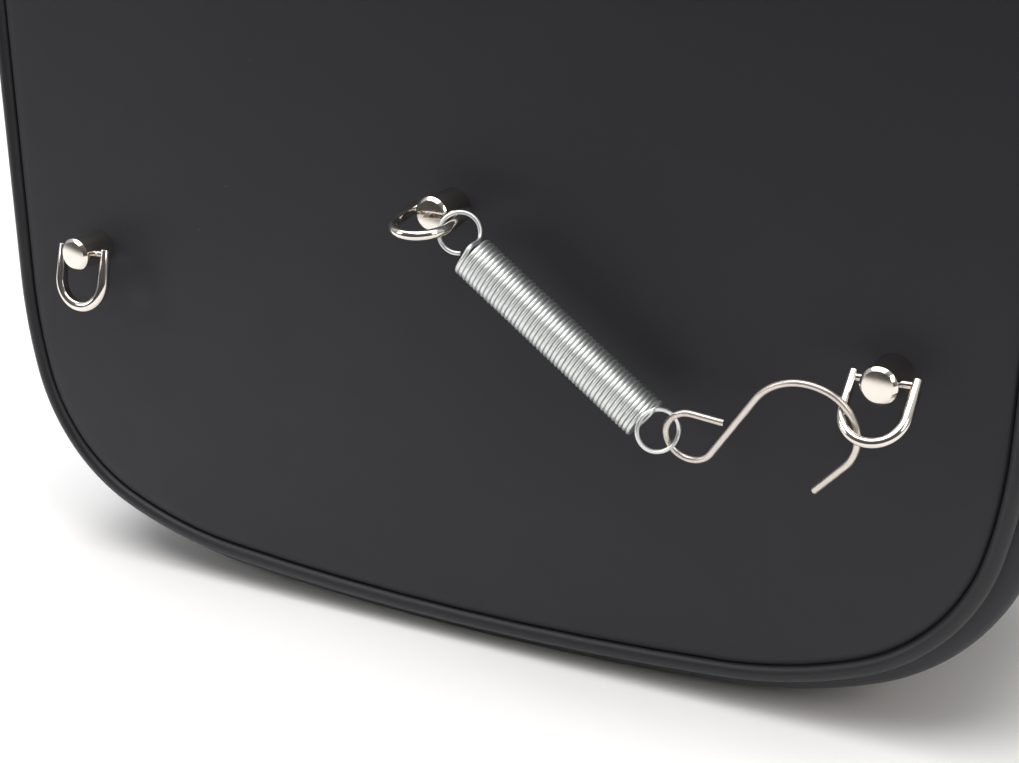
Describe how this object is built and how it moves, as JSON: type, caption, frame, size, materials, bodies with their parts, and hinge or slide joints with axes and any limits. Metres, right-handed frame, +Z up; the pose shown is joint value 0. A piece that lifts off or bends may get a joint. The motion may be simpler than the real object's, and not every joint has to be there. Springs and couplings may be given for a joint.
{
  "type": "bicycle saddle bag",
  "caption": "Stiffened saddle bag for a bicycle rack: rounded piped body, hinged flap with magnetic snaps, carry handle, rack hooks, ring studs, and a tension spring with an S-hook.",
  "frame": {"origin": "under the middle of the bag, on the surface it stands on (middle of the bounding box, lowest plane)", "axes": "+X across the bag, +Y towards the rack and wheel (the side with the studs, spring and hooks), +Z up"},
  "size_m": [0.3168, 0.1472, 0.3084],
  "materials": {
    "coated_fabric": "smooth matte black coated fabric",
    "piping_vinyl": "satin black",
    "liner_cloth": "woven dark grey",
    "board": "pressed board",
    "nickel": "bright nickel plate",
    "zinc_wire": "bright zinc",
    "stainless_wire": "drawn stainless",
    "black_steel": "black powder coat",
    "rubber": "matte",
    "zinc_steel": "zinc plated",
    "magnet": "nickel plated"
  },
  "bodies": {
    "bag": {"back_panel": "coated_fabric", "back_board": "board", "back_piping": "piping_vinyl", "front_panel": "coated_fabric", "front_board": "board", "front_piping": "piping_vinyl", "gusset": "coated_fabric", "lining": "liner_cloth", "base_board": "board", "rim_binding": "piping_vinyl", "flap_tail": "coated_fabric", "snap_plates": "magnet", "rack_hook_left": "black_steel", "rack_hook_right": "black_steel", "hook_liner_left": "rubber", "hook_liner_right": "rubber", "hook_backplates": "zinc_steel", "hook_rivets": "zinc_steel", "stud_left": "nickel", "stud_mid": "nickel", "stud_right": "nickel", "stud_screws": "zinc_steel", "stud_washers": "zinc_steel"},
    "flap": {"flap_skin": "coated_fabric", "flap_board": "board", "flap_lining": "liner_cloth", "flap_piping": "piping_vinyl", "snap_magnets": "magnet", "handle_chapes": "coated_fabric", "handle_rivets": "nickel"},
    "handle": {"handle_grip": "coated_fabric", "handle_rings": "nickel"},
    "ring_left": {"ring_left": "nickel"},
    "ring_mid": {"ring_mid": "nickel"},
    "ring_right": {"ring_right": "nickel"},
    "spring_top": {"spring_coil": "zinc_wire", "spring_top_loop": "zinc_wire"},
    "spring_end": {"spring_low_loop": "zinc_wire"},
    "s_hook": {"s_hook": "stainless_wire"}
  },
  "joints": [
    {"name": "flap_hinge", "type": "hinge", "parent": "bag", "child": "flap", "pos_m": [0, 0.05002, 0.2976], "axis": [-1, 0, 0], "range_deg": [0, 105]},
    {"name": "handle_hinge", "type": "hinge", "parent": "flap", "child": "handle", "pos_m": [0, 0.008, 0.30375], "axis": [-1, 0, 0], "range_deg": [0, 150]},
    {"name": "ring_left_swing", "type": "hinge", "parent": "bag", "child": "ring_left", "pos_m": [0.1152, 0.05722, 0.0956], "axis": [1, 0, 0], "range_deg": [-30, 140]},
    {"name": "ring_mid_swing", "type": "hinge", "parent": "bag", "child": "ring_mid", "pos_m": [0, 0.05722, 0.1208], "axis": [1, 0, 0], "range_deg": [-6, 6]},
    {"name": "ring_right_swing", "type": "hinge", "parent": "bag", "child": "ring_right", "pos_m": [-0.1152, 0.05722, 0.0956], "axis": [1, 0, 0], "range_deg": [-1.5, 2]},
    {"name": "spring_lift", "type": "hinge", "parent": "bag", "child": "spring_top", "pos_m": [-0.1107, 0.06362, 0.0816], "axis": [0, 1, 0], "range_deg": [-0.8, 0.8]},
    {"name": "spring_stretch", "type": "slide", "parent": "spring_top", "child": "spring_end", "axis": [-0.8067, -0.0164, -0.5908], "range_m": [0, 0.008], "deforming": ["spring_coil"]},
    {"name": "s_hook_swing", "type": "hinge", "parent": "spring_end", "child": "s_hook", "pos_m": [-0.0661, 0.06293, 0.0738], "axis": [0, 1, 0], "range_deg": [-2, 2]}
  ],
  "couplings": [
    {"joint": "spring_lift", "follows": "ring_mid_swing", "ratio": -0.09}
  ]
}
